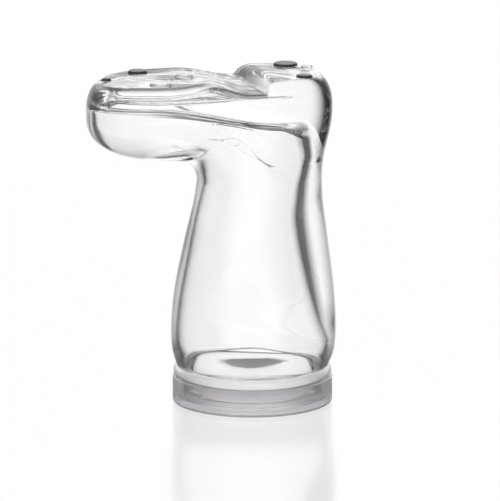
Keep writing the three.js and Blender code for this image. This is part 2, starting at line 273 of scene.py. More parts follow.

# How dark the painted shade lines of the glass are, from 0 to 1, and where along the foot and across it they
# run: painted dark lines that stand in for dark reflections
BORE_PAINTED_SHADE = 0.9
CUP_LIP_PAINTED_SHADE = 0.9
CUP_FOOT_PAINTED_SHADE = 0.75
BREAST_PAINTED_SHADE = 0.5
OFF_CENTRE = (2, 8)
RIM_PAINTED_SHADE_IN = (-43, -38)
RIM_PAINTED_SHADE_OUT = (0.5, 2.5)
RIM_PAINTED_SHADE_DEPTH = 0.4
RIM_PAINTED_SHADE_WIDTH = 0.6
VAULT_PAINTED_SHADE_IN = (-34, -22)
VAULT_PAINTED_SHADE_OUT = (11, 15)

# Painted highlight along the middle of the vault's painted dark line, and where it breaks off so that the
# painted dark line runs on unbroken
GLEAM_HEIGHT = 0.55
GLEAM_WIDTH = 0.2
GLEAM_STRENGTH = 0.9
GLEAM_BREAK_X = -3.5
GLEAM_BREAK_WIDTH = (1.0, 4.0)


def smoothstep(value, low, high):
    """0 up to low, 1 from high on, and smooth between."""
    t = np.clip((value - low) / (high - low), 0, 1)
    return t * t * (3 - 2 * t)


def hill(value, middle, width):
    """1 at the middle, falling to 0 on both sides."""
    return np.exp(-(((value - middle) / width) ** 2))


def catmull_rom(rows, steps):
    """Points along a smooth curve through the rows, steps to each stretch."""
    rows = np.array(rows, float)
    padded = np.vstack([2 * rows[0] - rows[1], rows, 2 * rows[-1] - rows[-2]])
    t = np.linspace(0, 1, steps, endpoint=False)[:, None]
    points = []
    for before, start, end, after in zip(padded, padded[1:], padded[2:], padded[3:]):
        slope = (end - before) * t
        bend = (2 * before - 5 * start + 4 * end - after) * t**2
        twist = (3 * start - before - 3 * end + after) * t**3
        points.append((2 * start + slope + bend + twist) / 2)
    return np.vstack([*points, rows[-1:]])


def bezier(corners, steps):
    """Points along a cubic Bezier arc, without its first point."""
    a, b, c, d = np.array(corners, float)
    t = (np.arange(steps) + 1)[:, None] / steps
    return a * (1 - t) ** 3 + 3 * b * t * (1 - t) ** 2 + 3 * c * t**2 * (1 - t) + d * t**3


def foot_outline(foot, angles):
    """Points of the superellipse that the foot's plan is."""
    centre, half_length, half_width, exponent = foot
    cosine, sine = np.cos(angles), np.sin(angles)
    x = centre + half_length * np.sign(cosine) * np.abs(cosine) ** (2 / exponent)
    y = half_width * np.sign(sine) * np.abs(sine) ** (2 / exponent)
    return np.stack([x, y], 1)


def ring_angles(count):
    """Angles that space points evenly along the leg and the foot alike, and closer at the heel breast."""
    closest_x, reach, extra = 0.5, 5, 1.5
    trial_points = 7201
    fine = np.linspace(0, TAU, trial_points)
    outline = foot_outline(FOOT_OUTSIDE, fine)
    length = np.hypot(*np.diff(outline, axis=0).T)
    middle = (outline[1:, 0] + outline[:-1, 0]) / 2
    weight = length / length.sum() + np.diff(fine) / TAU
    weight *= 1 + extra * hill(middle, closest_x, reach)
    along = np.concatenate([[0], np.cumsum(weight)])
    wanted = np.linspace(0, along[-1], count, endpoint=False)
    return np.interp(wanted, along, fine)


ANGLES = ring_angles(AROUND)
OUTLINE = foot_outline(FOOT_OUTSIDE, ANGLES)

# 1 on the toe's side of the leg and 0 on the heel's, and 1 on the foot's inner side (-Y) and 0 on its outer
TOE_SHARE = smoothstep(-np.cos(ANGLES), *TOE_SIDE)
INNER_SHARE = smoothstep(-OUTLINE[:, 1], -SIDE_BLEND, SIDE_BLEND)


def ring(xy, z, painted_shade=0.0):
    """Rows of x, y, z and how much painted shade the glass takes there, from 0 to 1: a dark tint standing in
    for dark reflections.
    """
    return np.column_stack([xy, np.broadcast_to(z, len(xy)), np.broadcast_to(painted_shade, len(xy))])


def pole(xy, z):
    """A ring of one point, which closes an end."""
    return np.array([[*xy, z, 0.0]])


def circle(centre, radius, z, painted_shade=0.0):
    """A ring round the leg."""
    return ring(np.stack([centre + radius * np.cos(ANGLES), radius * np.sin(ANGLES)], 1), z, painted_shade)


def eased(values):
    """The values of one ring with their small kinks smoothed away."""
    for _ in range(EASE_PASSES):
        values = (np.roll(values, 1) + 2 * values + np.roll(values, -1)) / 4
    return values


def belly(foot, levels, xy, thicken, follow):
    """Height of the foot's underside: lowest along the middle, rising round to the widest outline."""
    centre, half_length, half_width, exponent = foot
    low, high, roundness = levels
    low = low + thicken * smoothstep(xy[:, 0], *INSTEP_WALL_IN)
    high = high + follow * smoothstep(xy[:, 0], *CEILING_FALL)
    along = np.abs((xy[:, 0] - centre) / half_length) ** exponent
    across = np.abs(xy[:, 1] / half_width) ** exponent
    share = np.clip((along + across) ** (1 / exponent), 0, 1)
    return high - (high - low) * (1 - share**roundness) ** (1 / roundness)


def ankle_rings(ankle, foot, levels, fillet, to_heel, steps, thicken=0, follow=0):
    """Rings from the ankle circle out to the foot's widest outline."""
    centre, radius, ankle_z = ankle
    start = circle(centre, radius, 0)[:, :2]
    way = foot_outline(foot, ANGLES) - start
    distance = np.hypot(*way.T)
    corner = fillet / (distance + fillet)
    heel_points = np.vstack([bezier(curve, steps) for curve in to_heel])
    rings = []
    for index, heel in enumerate(heel_points, 1):
        turn = index / steps * QUARTER
        if index <= steps:
            toe_reach = corner * (1 - math.cos(turn))
            rise = math.sin(turn)
        else:
            toe_reach = corner + (1 - corner) * math.sin(turn - QUARTER)
            rise = 1
        below = start + way * toe_reach[:, None]
        floor = belly(foot, levels, below, thicken, follow)
        toe_z = ankle_z + (floor - ankle_z) * rise
        reach = heel[0] + (toe_reach - heel[0]) * TOE_SHARE
        z = heel[1] + (toe_z - heel[1]) * TOE_SHARE
        rings.append(ring(start + way * reach[:, None], eased(z)))
    return rings


def inset(foot, distance):
    """The foot's outline drawn in towards its centre."""
    centre, half_length, half_width, exponent = foot
    return foot_outline((centre, half_length - distance, half_width - distance, exponent), ANGLES)


# ------------------------------------------------------------------------------------------------
# Sole relief
# ------------------------------------------------------------------------------------------------


def breast(x, y):
    """How far up the heel's front face a point is: steep at its foot, and rounded over at its top."""
    foot = BREAST_X - BREAST_SLANT * y
    width = BREAST_WIDTH + BREAST_WIDENING * y
    share = np.clip((x - foot) / width, 0, 1)
    return (1 - (1 - share) ** BREAST_STEEPNESS) * smoothstep(share, 0, BREAST_FILLET)


def panel(x, y):
    """Depth of the sunken panel in the sole, with its ripples."""
    reach = np.hypot((x - PANEL_CENTRE[0]) / PANEL_SIZE[0], (y - PANEL_CENTRE[1]) / PANEL_SIZE[1])
    floor = PANEL_DEPTH * (1 - smoothstep(reach, *PANEL_EDGE))
    rippled = smoothstep(reach, *RIPPLES_START) * (1 - smoothstep(reach, *RIPPLES_END))
    return floor + RIPPLE_HEIGHT * np.cos(reach * RIPPLE_RATE) * rippled


def sole_height(x, y):
    """Height of the upper face of sole and heel: toe spring, ball, shank and heel."""
    toe = smoothstep(x, *TOE_SPRING)
    shank = smoothstep(x, *SHANK)
    front = TOE_SPRING_Z + (SOLE_Z - TOE_SPRING_Z) * toe + (SHANK_Z - SOLE_Z) * shank
    heel = breast(x, y)
    return front + (HEEL_Z - front) * heel - panel(x, y) * (1 - heel)


def waist():
    """1 at the deep waist on the sole's inner side, 0 elsewhere."""
    x = OUTLINE[:, 0]
    reach = np.where(x < WAIST_X, WAIST_TO_TOE, WAIST_TO_HEEL)
    return hill(x, WAIST_X, reach) * INNER_SHARE


def rim_inset():
    """Distance from the foot's outline to the sole's rim."""
    inner = RIM_INNER - RIM_HEELWARD * smoothstep(OUTLINE[:, 0], *RIM_NARROWS)
    return RIM_OUTER + (inner - RIM_OUTER) * INNER_SHARE + WAIST_DEPTH * waist()


def side_profile(rim, top):
    """Steps of [inset, height] up the side of the foot: round welt, shelf, and the sole's edge."""
    least_shelf, rim_roll = 0.05, 0.1
    steps = []
    for turn in np.linspace(0, QUARTER, ROUND_STEPS + 1)[1:]:
        steps.append((WELT_ROUND * (1 - math.cos(turn)), WELT_Z - WELT_ROUND * (1 - math.sin(turn))))
    shelf_end = np.maximum(rim - SHELF_TO_RIM, WELT_ROUND + least_shelf)
    shelf_rise = SHELF_RISE + WAIST_RISE * waist()
    for share in np.linspace(0, 1, SHELF_STEPS + 1)[1:]:
        steps.append((WELT_ROUND + (shelf_end - WELT_ROUND) * share, WELT_Z + shelf_rise * share**2))
    low = WELT_Z + shelf_rise
    for t in np.linspace(0, 1, RIM_STEPS + 1)[1:]:
        distance = shelf_end * (1 - t) ** 3 + 3 * rim * t * (1 - t) ** 2
        distance = distance + 3 * (rim - rim_roll) * t**2 * (1 - t) + (rim + RIM_TO_FACE) * t**3
        steps.append((distance, low + (top - low) * smoothstep(t, 0, 1)))
    return steps


def end_profile(size, top, count):
    """Steps of [inset, height] over the big rounding of the toe's end or the heel's back."""
    reach, rise = size
    turns = np.linspace(0, QUARTER, count + 1)[1:]
    return [(reach * (1 - math.cos(turn)), top - rise * (1 - math.sin(turn))) for turn in turns]


def sole_rings():
    """From the foot's widest outline over the welt and the rim to the middle of the sole."""
    rim = rim_inset()
    toe_end = smoothstep(-np.cos(ANGLES), *TOE_END_IN)
    heel_from = HEEL_END_IN[0] - HEEL_END_INNER[0] * INNER_SHARE
    heel_to = HEEL_END_IN[1] - HEEL_END_INNER[1] * INNER_SHARE
    heel_end = smoothstep(np.cos(ANGLES), heel_from, heel_to)
    side_share = 1 - toe_end - heel_end
    last = (rim + RIM_TO_FACE) * side_share + TOE_END[0] * toe_end + HEEL_END[0] * heel_end
    edge = inset(FOOT_OUTSIDE, last)
    x, y = edge.T
    top = sole_height(x, y)
    side = side_profile(rim, top)
    toe = end_profile(TOE_END, top, len(side))
    heel = end_profile(HEEL_END, top, len(side))
    # Painted dark line just under the sole's rim, standing in for a dark reflection
    shade_mask = smoothstep(np.abs(y), *OFF_CENTRE) * smoothstep(x, *RIM_PAINTED_SHADE_IN)
    shade_mask = shade_mask * (1 - smoothstep(x, *RIM_PAINTED_SHADE_OUT))
    rings = []
    for along_side, along_toe, along_heel in zip(side, toe, heel):
        distance, z = (
            a * side_share + b * toe_end + c * heel_end
            for a, b, c in zip(along_side, along_toe, along_heel)
        )
        painted_shade = shade_mask * hill(top - z, RIM_PAINTED_SHADE_DEPTH, RIM_PAINTED_SHADE_WIDTH)
        rings.append(ring(inset(FOOT_OUTSIDE, distance), z, painted_shade))
    middle = np.array(SOLE_MIDDLE)
    # Painted dark line over the heel's front face, standing in for a dark reflection
    for step in range(1, SOLE_STEPS):
        xy = edge + (middle - edge) * step / SOLE_STEPS
        climb = breast(*xy.T)
        rings.append(ring(xy, sole_height(*xy.T), BREAST_PAINTED_SHADE * 4 * climb * (1 - climb)))
    rings.append(pole(middle, sole_height(*middle)))
    return rings


# ------------------------------------------------------------------------------------------------
# Mesh helpers
# ------------------------------------------------------------------------------------------------


def mesh_from_rings(name, rings):
    """A closed mesh through the rings. A first or last ring of one point closes that end."""
    count = len(rings[1])
    rows = np.vstack(rings)
    starts = np.cumsum([0] + [len(r) for r in rings])
    faces = []
    for lower, upper, first, second in zip(rings, rings[1:], starts, starts[1:]):
        for i in range(count):
            j = (i + 1) % count
            if len(lower) == 1:
                faces.append((first, second + j, second + i))
            elif len(upper) == 1:
                faces.append((first + i, first + j, second))
            else:
                faces.append((first + i, first + j, second + j, second + i))
    mesh = bpy.data.meshes.new(name)
    mesh.from_pydata((rows[:, :3] * MM).tolist(), [], faces)
    mesh.shade_smooth()
    # Each point's painted shade: a dark tint that stands in for dark reflections and shade
    mesh.attributes.new("painted_shade", "FLOAT", "POINT").data.foreach_set("value", rows[:, 3].astype(np.float32))
    piece = bpy.data.objects.new(name, mesh)
    bpy.context.scene.collection.objects.link(piece)
    return piece


def stand_in(piece, node, body, material):
    """Puts a finished clear piece in place of its CAD node. It throws no shadow on the floor."""
    piece.data.materials.append(material)
    piece.visible_diffuse = False
    piece.visible_shadow = False
    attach(piece, body)
    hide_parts(node)
    return piece


# ------------------------------------------------------------------------------------------------
# The glass boot
# ------------------------------------------------------------------------------------------------


def outside_rings():
    """From the rim up the leg, over the foot, to the middle of the sole."""
    rings = []
    for step in range(ROUND_STEPS + 1):
        turn = step / ROUND_STEPS * QUARTER
        radius = FINISH_RADIUS - RIM_ROUND * (1 - math.sin(turn))
        rings.append(circle(0, radius, RIM_Z + RIM_ROUND * (1 - math.cos(turn))))
    rings.append(circle(0, FINISH_RADIUS, SHOULDER_Z - FLARE_FROM))
    rings.append(circle(0, FINISH_RADIUS + FLARE, SHOULDER_Z - FLARE_TO))
    rings += [circle(*row) for row in catmull_rom(LEG_OUTSIDE, LEG_STEPS)]
    ankle, steps = LEG_OUTSIDE[-1], OUTSIDE_ARC_STEPS
    rings += ankle_rings(ankle, FOOT_OUTSIDE, BELLY_OUTSIDE, INSTEP_OUTSIDE, ANKLE_TO_HEEL, steps)
    return rings + sole_rings()


def ceiling(x):
    """Height of the hollow's ceiling."""
    return CEILING_TOE_Z + CEILING_DROP * smoothstep(x, *CEILING_FALL)


def settle_wave():
    """How far the soft glass sank or rose round the inside of the mouth, by angle."""
    wave = HUMP_HEIGHT * hill(ANGLES, HUMP_ANGLE, HUMP_REACH) - ENDS_SINK * np.cos(ANGLES) ** 2
    for height, waves_round, phase in SMALL_WAVES:
        wave = wave + height * np.sin(waves_round * ANGLES + phase)
    return wave


def bore_rings():
    """The straight bore of the mouth and its rounded edge."""
    wave = settle_wave()
    rings = [circle(0, MOUTH_RADIUS, RIM_Z), circle(0, MOUTH_RADIUS, RIM_Z + EVEN_BORE)]
    rings.append(circle(0, MOUTH_RADIUS, LEDGE_Z - 2 * BORE_EDGE + wave))
    # Painted dark line round the bore's rounded edge, standing in for a dark reflection
    for turn in np.linspace(0, QUARTER, BORE_EDGE_STEPS + 1):
        radius = MOUTH_RADIUS + BORE_EDGE * (1 - math.cos(turn))
        rings.append(circle(0, radius, LEDGE_Z - BORE_EDGE * (1 - math.sin(turn)) + wave, BORE_PAINTED_SHADE))
    rings.append(circle(0, MOUTH_RADIUS + 2 * BORE_EDGE, LEDGE_Z + wave))
    for centre, radius, z in catmull_rom(LEG_INSIDE, LEG_STEPS):
        rings.append(circle(centre, radius, z + wave * (1 - smoothstep(z, LEDGE_Z, SETTLED_Z))))
    return rings


def vault_painted_shade(x, y, rise):
    """Painted dark line along the rounding under the ceiling, standing in for a dark reflection, with a
    painted highlight in it that breaks off and leaves the dark line whole.
    """
    shade_mask = smoothstep(np.abs(y), *OFF_CENTRE) * smoothstep(x, *VAULT_PAINTED_SHADE_IN)
    shade_mask = shade_mask * (1 - smoothstep(x, *VAULT_PAINTED_SHADE_OUT))
    gleam = hill(rise, GLEAM_HEIGHT, GLEAM_WIDTH) * smoothstep(np.abs(x - GLEAM_BREAK_X), *GLEAM_BREAK_WIDTH)
    return shade_mask * (1 - GLEAM_STRENGTH * gleam)


def ceiling_rings(last):
    """From the top of the wall, round the vault, to the middle of the ceiling."""
    wall, wall_top = last[:, :2], last[:, 2]
    heel = smoothstep(np.cos(ANGLES), *VAULT_END)
    rise = VAULT_RISE + (VAULT_HEEL_RISE - VAULT_RISE) * heel
    start = np.maximum(wall_top, ceiling(wall[:, 0]) - rise)
    rings = []
    for share in np.linspace(0, 1, WALL_STEPS + 1)[1:]:
        rings.append(ring(wall, wall_top + (start - wall_top) * share))
    side = 1 - smoothstep(np.abs(np.cos(ANGLES)), *VAULT_END)
    full_reach = VAULT_END_REACH + (VAULT_REACH - VAULT_END_REACH) * side
    reach = TOE_CORNER + (full_reach - TOE_CORNER) * smoothstep(wall[:, 0], *VAULT_GROWS)
    # Painted dark line with a painted highlight along the vault's rounding
    for turn in np.linspace(0, QUARTER, VAULT_STEPS + 1)[1:]:
        xy = inset(FOOT_INSIDE, reach * (1 - math.cos(turn)))
        z = start + (ceiling(xy[:, 0]) - start) * math.sin(turn)
        rings.append(ring(xy, z, vault_painted_shade(*xy.T, math.sin(turn))))
    edge = inset(FOOT_INSIDE, reach)
    middle = np.array([FOOT_INSIDE[0], 0.0])
    for step in range(1, CEILING_STEPS):
        xy = edge + (middle - edge) * step / CEILING_STEPS
        rings.append(ring(xy, ceiling(xy[:, 0])))
    rings.append(pole(middle, ceiling(middle[0])))
    return rings


def inside_rings():
    """From the mouth up to the ceiling of the hollow."""
    ankle, steps, fillet = LEG_INSIDE[-1], INSIDE_ARC_STEPS, INSTEP_INSIDE
    rings = bore_rings()
    rings += ankle_rings(
        ankle, FOOT_INSIDE, BELLY_INSIDE, fillet, INSIDE_TO_HEEL, steps, INSTEP_WALL, CEILING_DROP
    )
    return rings + ceiling_rings(rings[-1])


def glass_boot():
    """The whole boot as one closed skin, from the ceiling down to the mouth and up the outside."""
    rings = inside_rings()[::-1] + outside_rings()
    return mesh_from_rings("boot_glass", rings)


# ------------------------------------------------------------------------------------------------
# Turned pieces of the closure
# ------------------------------------------------------------------------------------------------


def arc(centre, radius, start, end, steps=ROUND_STEPS):
    """Points [radius, height] round a corner, angles in degrees."""
    turn = np.radians(np.linspace(start, end, steps + 1))
    return [(centre[0] + radius * math.cos(a), centre[1] + radius * math.sin(a)) for a in turn]


def with_painted_shade(outline, painted_shade):
    """The outline with the same painted shade at each point."""
    return [(radius, z, painted_shade) for radius, z in outline]


def turned(name, outline, segments=TURNED_SEGMENTS):
    """Spins an outline of [radius, height, and painted shade if any] about Z. A point on the axis is a pole.
    """
    angles = np.arange(segments) * TAU / segments
    rings = []
    for radius, z, *painted_shade in outline:
        if radius == 0:
            rings.append(pole((0.0, 0.0), z))
        else:
            xy = np.stack([radius * np.cos(angles), radius * np.sin(angles)], 1)
            rings.append(ring(xy, z, *painted_shade))
    return mesh_from_rings(name, rings)


def closed_ring(name, outline):
    """A turned ring whose outline never meets the axis, with its first and last rows joined."""
    same_place = 1e-7
    piece = turned(name, outline + outline[:1])
    work = bmesh.new()
    work.from_mesh(piece.data)
    bmesh.ops.remove_doubles(work, verts=work.verts, dist=same_place)
    work.to_mesh(piece.data)
    work.free()
    return piece


def closure_cup():
    """The shallow round cup that the boot stands in."""
    radius, top = CUP_HIGH[0], CUP_HIGH[2]
    foot, lip, inner = CUP_FOOT_ROUND, CUP_LIP_ROUND, CUP_INNER_ROUND
    outline = [(0, 0), (radius - foot - CUP_FOOT_FLAT, 0)]
    # Painted dark lines at the cup's foot, up its side and at its lip, standing in for dark reflections and
    # shade
    outline += with_painted_shade(arc((radius - foot, foot), foot, -90, 0), CUP_FOOT_PAINTED_SHADE)
    outline += [(radius, z, painted_shade) for z, painted_shade in CUP_SIDE_PAINTED_SHADE]
    outline += arc((radius - lip, top - lip), lip, 0, 90)
    outline += with_painted_shade(arc((CUP_BORE + lip, top - lip), lip, 90, 180), CUP_LIP_PAINTED_SHADE)
    outline += arc((CUP_BORE - inner, CUP_FLOOR + inner), inner, 0, -90)
    outline += [(0, CUP_FLOOR)]
    return turned("closure_cup_clear", outline)


def closure_plug():
    """The plug that fills the mouth, with a dish in its top."""
    radius, bottom = PLUG_HIGH[0], PLUG_LOW[2]
    foot, shoulder = PLUG_FOOT_ROUND, PLUG_SHOULDER_ROUND
    outline = [(0, bottom), (radius - foot - PLUG_FOOT_FLAT, bottom)]
    outline += arc((radius - foot, bottom + foot), foot, -90, 0)
    outline += arc((radius - shoulder, PLUG_TOP - shoulder), shoulder, 0, 90)
    for share in np.linspace(1, 0, DISH_STEPS + 1):
        outline.append((DISH_RADIUS * share, PLUG_TOP - DISH_DEPTH * (1 - share**2)))
    return turned("closure_plug_clear", outline)


def rim_liner():
    """The flat washer under the glass rim."""
    inner, outer = MOUTH_RADIUS, LINER_HIGH[0]
    low, high = LINER_LOW[2], LINER_HIGH[2]
    corner = LINER_ROUND
    outline = arc((inner + corner, low + corner), corner, 180, 270, LINER_STEPS)
    outline += arc((outer - corner, low + corner), corner, -90, 0, LINER_STEPS)
    outline += arc((outer - corner, high - corner), corner, 0, 90, LINER_STEPS)
    outline += arc((inner + corner, high - corner), corner, 90, 180, LINER_STEPS)
    return closed_ring("rim_liner_soft", outline)


def seal_ring():
    """The round bead between the cup's lip and the glass shoulder."""
    outer, low, high = SEAL_HIGH[0], SEAL_LOW[2], SEAL_HIGH[2]
    half = (high - low) / 2
    outline = [(CUP_BORE, high), (CUP_BORE, low)]
    outline += arc((outer - half, low + half), half, -90, 90, SEAL_STEPS)
    return closed_ring("seal_ring_soft", outline)


def bumper(node, surface):
    """A soft round pad, laid on the glass where its CAD node is and tilted with it."""
    low, high = span(node)
    centre = (low + high) / 2
    radius = min(high[:2] - low[:2]) / 2
    side = PAD_HEIGHT - PAD_EDGE_Z - PAD_CROWN
    outline = [(0, 0), (radius - PAD_FOOT, 0)]
    for turn in np.linspace(0, QUARTER, ROUND_STEPS + 1):
        outline.append((radius - PAD_ROUND * (1 - math.cos(turn)), PAD_EDGE_Z + side * math.sin(turn)))
    outline += [(radius / 2, PAD_HEIGHT - PAD_CROWN / 2), (0, PAD_HEIGHT)]
    piece = turned(node + "_soft", outline, PAD_SEGMENTS)
    above = Vector((centre[0] * MM, centre[1] * MM, 1))
    place, normal, _, _ = surface.ray_cast(above, Vector((0, 0, -1)))
    up = Vector((0, 0, 1))
    normal = up if normal.z > LEVEL_ENOUGH else (normal + up * PAD_UPRIGHT).normalized()
    piece.location = place + normal * PAD_LIFT * MM
    piece.rotation_mode = "QUATERNION"
    piece.rotation_quaternion = normal.to_track_quat("Z", "Y")
    return piece


# ------------------------------------------------------------------------------------------------
# Shader nodes
# ------------------------------------------------------------------------------------------------


def node_tree(block):
    """The node tree of a new material or world."""
    block.use_nodes = True
    return block.node_tree


def feed(tree, socket, value):
    """Links a socket to another node's output, or sets it to a plain value."""
    if isinstance(value, bpy.types.NodeSocket):
        tree.links.new(value, socket)
    else:
        socket.default_value = value


def calculate(tree, operation, *values):
    """A sum on outputs and plain numbers."""
    node = tree.nodes.new("ShaderNodeMath")
    node.operation = operation
    for socket, value in zip(node.inputs, values):
        feed(tree, socket, value)
    return node.outputs["Value"]


def remap(tree, value, before, after=(0.0, 1.0), interpolation="SMOOTHSTEP"):
    """Maps one range onto another, and stays at its ends outside it."""
    node = tree.nodes.new("ShaderNodeMapRange")
    node.interpolation_type = interpolation
    for name, number in zip(("From Min", "From Max", "To Min", "To Max"), (*before, *after)):
        node.inputs[name].default_value = number
    tree.links.new(value, node.inputs["Value"])
    return node.outputs["Result"]


def separate(tree, vector):
    """The X, Y and Z outputs of a vector."""
    node = tree.nodes.new("ShaderNodeSeparateXYZ")
    tree.links.new(vector, node.inputs["Vector"])
    return node.outputs


def place_on(tree, name="Object"):
    """Where a point is, in the object's own frame."""
    return tree.nodes.new("ShaderNodeTexCoord").outputs[name]


def noise(tree, scale, detail):
    """Procedural noise over the object."""
    node = tree.nodes.new("ShaderNodeTexNoise")
    node.inputs["Scale"].default_value = scale
    node.inputs["Detail"].default_value = detail
    tree.links.new(place_on(tree), node.inputs["Vector"])
    return node.outputs["Fac"]


def mix_colours(tree, share, first, second):
    """A mix of two colours, each an output or a plain colour."""
    node = tree.nodes.new("ShaderNodeMix")
    node.data_type = "RGBA"
    feed(tree, node.inputs["Factor"], share)
    feed(tree, node.inputs["A"], first)
    feed(tree, node.inputs["B"], second)
    return node.outputs["Result"]


# ------------------------------------------------------------------------------------------------
# Materials
# ------------------------------------------------------------------------------------------------

# The solid heel: where it is along X and Z, in metres, and how much sooner its walls take the painted dark
# edge colour as they turn
SOLID_HEEL_X = (8 * MM, 18 * MM)
SOLID_HEEL_Z = (64 * MM, 76 * MM)
SOLID_HEEL_SOONER = 0.22

# Layer Weight's facing between which a wall takes painted shade, standing in for dark reflections, and how
# level a surface is before it stays clear
TURNED_AWAY = (0.45, 0.85)
LEVEL = (0.55, 0.9)

FLOW_DETAIL = 2.0
FLOW_DEPTH = 0.0005

# The dark oval painted in the plug's dish, painted shade: stretch and shift of the round into an oval, and its
# ragged edge
OVAL_STRETCH = (1, 1.3, 0)
OVAL_SHIFT = (0, 1.5 * MM, 0)
OVAL_EDGE = (0.0086, 0.0122)
DISH_SHADE_COLOUR = (0.05, 0.047, 0.052, 1)
STREAK_SCALE = 260
STREAK_DETAIL = 3
STREAK_DEPTH = 0.003


def painted_edge_shade(tree, turn):
    """How much painted shade an upright wall takes as it turns away from the viewer, up to turn, standing in
    for dark reflections: sooner at the solid heel.
    """
    place = separate(tree, place_on(tree))
    behind = remap(tree, place["X"], SOLID_HEEL_X)
    above = remap(tree, place["Z"], SOLID_HEEL_Z, (0.0, SOLID_HEEL_SOONER))
    sooner = calculate(tree, "MULTIPLY", behind, above)
    layer = tree.nodes.new("ShaderNodeLayerWeight")
    layer.inputs["Blend"].default_value = 0.5
    facing = calculate(tree, "ADD", layer.outputs["Facing"], sooner)
    ramp = remap(tree, facing, TURNED_AWAY, (0.0, turn))
    normal = tree.nodes.new("ShaderNodeNewGeometry").outputs["Normal"]
    level = calculate(tree, "ABSOLUTE", separate(tree, normal)["Z"])
    wall = remap(tree, level, LEVEL, (1.0, 0.0))
    return calculate(tree, "MULTIPLY", ramp, wall)


def clear_material(name, tint, ior, edge, turn, roughness, flow_scale, flow_strength, transmission=1.0):
    """Clear material with faint flow marks, whose lines of painted shade and turned-away walls take the edge
    colour: a painted dark tint that stands in for dark reflections.
    """
    material = bpy.data.materials.new(name)
    tree = node_tree(material)
    shader = tree.nodes["Principled BSDF"]
    shader.inputs["Transmission Weight"].default_value = transmission
    shader.inputs["IOR"].default_value = ior
    # Painted shade from the mesh attribute and from turned-away walls, standing in for dark reflections
    painted_shade = tree.nodes.new("ShaderNodeAttribute")
    painted_shade.attribute_name = "painted_shade"
    share = calculate(tree, "MAXIMUM", painted_edge_shade(tree, turn), painted_shade.outputs["Fac"])
    tree.links.new(mix_colours(tree, share, (*tint, 1), (*edge, 1)), shader.inputs["Base Color"])
    flow = noise(tree, flow_scale, FLOW_DETAIL)
    bump = tree.nodes.new("ShaderNodeBump")
    bump.inputs["Strength"].default_value = flow_strength
    bump.inputs["Distance"].default_value = FLOW_DEPTH
    tree.links.new(flow, bump.inputs["Height"])
    tree.links.new(bump.outputs["Normal"], shader.inputs["Normal"])
    tree.links.new(remap(tree, flow, (0.0, 1.0), roughness, "LINEAR"), shader.inputs["Roughness"])
    return material


def paint_dish_shade(material):
    """A dark, faintly streaked oval of painted shade in the dish in the middle of the plug."""
    tree = material.node_tree
    base_colour = tree.nodes["Principled BSDF"].inputs["Base Color"]
    streaks = noise(tree, STREAK_SCALE, STREAK_DETAIL)
    oval = tree.nodes.new("ShaderNodeVectorMath")
    oval.operation = "MULTIPLY_ADD"
    oval.inputs[1].default_value = OVAL_STRETCH
    oval.inputs[2].default_value = OVAL_SHIFT
    tree.links.new(place_on(tree), oval.inputs[0])
    radius = tree.nodes.new("ShaderNodeVectorMath")
    radius.operation = "LENGTH"
    tree.links.new(oval.outputs["Vector"], radius.inputs[0])
    ragged = calculate(tree, "MULTIPLY_ADD", streaks, STREAK_DEPTH, radius.outputs["Value"])
    inside = remap(tree, ragged, OVAL_EDGE, (1.0, 0.0))
    tree.links.new(mix_colours(tree, inside, base_colour.links[0].from_socket, DISH_SHADE_COLOUR), base_colour)


# ------------------------------------------------------------------------------------------------
# Stage: floor, light and camera
# ------------------------------------------------------------------------------------------------

VIEW_AZIMUTH = math.radians(-11)
VIEW_ELEVATION = math.radians(13)

# Brightness of the studio by the angle from the direction the camera looks in, in degrees: two dark side
# screens between white ones, and how dark they are
SCREENS = ((150, 1.0), (125, 0.0), (52, 0.0), (28, 1.0))
SCREEN_LIGHT = 0.1

FLOOR_HALF = 6.0
FLOOR_DROP = 0.0001
FLOOR_ROUGHNESS = 0.14

# Light from overhead: the sine of the height between which it dims, how dim it gets, and the whole level
OVERHEAD = (math.sin(math.radians(30)), math.sin(math.radians(45)))
OVERHEAD_LIGHT = 0.3
LIGHT_COLOUR = (1.0, 0.995, 1.0, 1)
LIGHT_LEVEL = 1.04

# Camera: distance, width of the view at the object, and what it looks at, in metres
CAMERA_DISTANCE = 2.6
VIEW_WIDTH = 0.1375
CAMERA_CLIP = (0.1, 30)
TARGET_ACROSS = -0.00066
TARGET_Z = 0.04207

BOUNCES = 32
GLOSSY_BOUNCES = 16


def side_light(tree, place):
    """1 towards and away from the camera's side of the studio, and dark towards the two side screens."""
    turn = calculate(tree, "ARCTAN2", place["Y"], place["X"])
    offset = calculate(tree, "SUBTRACT", turn, QUARTER + VIEW_AZIMUTH)
    cosine = calculate(tree, "COSINE", offset)
    lifted = remap(tree, cosine, (-1.0, 1.0), (0.0, 1.0), "LINEAR")
    stops = tree.nodes.new("ShaderNodeValToRGB")
    stops.color_ramp.elements[0].color = (1, 1, 1, 1)
    for degrees, value in SCREENS:
        stop = stops.color_ramp.elements.new((math.cos(math.radians(degrees)) + 1) / 2)
        shade = SCREEN_LIGHT + (1 - SCREEN_LIGHT) * value
        stop.color = (shade, shade, shade, 1)
    tree.links.new(lifted, stops.inputs["Fac"])
    return stops.outputs["Color"]


